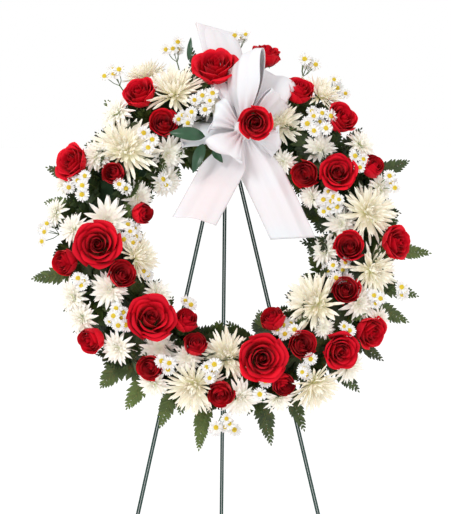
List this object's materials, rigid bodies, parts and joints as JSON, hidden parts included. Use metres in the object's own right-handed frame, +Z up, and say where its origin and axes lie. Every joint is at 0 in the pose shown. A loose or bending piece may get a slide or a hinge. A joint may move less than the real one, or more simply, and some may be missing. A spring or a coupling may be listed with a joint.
{
  "type": "funeral wreath on easel",
  "caption": "Round funeral wreath of roses, chrysanthemums and fern in a foam ring, with a ribbon bow, hung on a folding three-legged wire easel.",
  "frame": {"origin": "on the floor, under the middle of the whole outline", "axes": "+Z up, -Y the way the wreath faces, +X to the right as seen from in front"},
  "size_m": [0.6724, 0.682, 1.4769],
  "materials": {
    "easel_paint": "satin",
    "tray_plastic": "satin",
    "tie_wire": "satin",
    "wet_foam": "matte",
    "rose_petal": "matte",
    "spider_petal": "matte",
    "spray_petal": "matte",
    "fern_leaf": "matte",
    "satin_ribbon": "satin",
    "pick_wood": "matte"
  },
  "bodies": {
    "wreath_on_front_legs": {"front_leg_left": "easel_paint", "front_leg_right": "easel_paint", "hook_plate": "easel_paint", "prong_wire": "easel_paint", "hinge_pin": "easel_paint", "ring_tray": "tray_plastic", "tie_wire": "tie_wire", "foam_ring": "wet_foam", "rose_01": "rose_petal", "rose_02": "rose_petal", "rose_03": "rose_petal", "rose_04": "rose_petal", "rose_05": "rose_petal", "rose_06": "rose_petal", "rose_07": "rose_petal", "rose_08": "rose_petal", "rose_09": "rose_petal", "rose_10": "rose_petal", "rose_11": "rose_petal", "rose_12": "rose_petal", "rose_13": "rose_petal", "rose_14": "rose_petal", "rose_15": "rose_petal", "rose_16": "rose_petal", "rose_17": "rose_petal", "rose_18": "rose_petal", "rose_19": "rose_petal", "rose_20": "rose_petal", "rose_21": "rose_petal", "rose_22": "rose_petal", "rose_23": "rose_petal", "rose_24": "rose_petal", "rose_25": "rose_petal", "rose_26": "rose_petal", "rose_27": "rose_petal", "rose_28": "rose_petal", "rose_29": "rose_petal", "rose_30": "rose_petal", "rose_31": "rose_petal", "spider_mum_01": "spider_petal", "spider_mum_02": "spider_petal", "spider_mum_03": "spider_petal", "spider_mum_04": "spider_petal", "spider_mum_05": "spider_petal", "spider_mum_06": "spider_petal", "spider_mum_07": "spider_petal", "spider_mum_08": "spider_petal", "spider_mum_09": "spider_petal", "spider_mum_10": "spider_petal", "spider_mum_11": "spider_petal", "mum_spray_1": "spray_petal", "mum_spray_2": "spray_petal", "mum_spray_3": "spray_petal", "mum_spray_4": "spray_petal", "mum_spray_5": "spray_petal", "mum_spray_6": "spray_petal", "ribbon_bow": "satin_ribbon", "bow_pick": "pick_wood", "fern_collar": "fern_leaf"},
    "rear_leg": {"rear_leg": "easel_paint"}
  },
  "joints": [
    {"name": "rear_leg_fold", "type": "hinge", "parent": "wreath_on_front_legs", "child": "rear_leg", "pos_m": [-0.01137, -0.06479, 1.24427], "axis": [1, 0, 0], "range_deg": [-28, 0]}
  ]
}
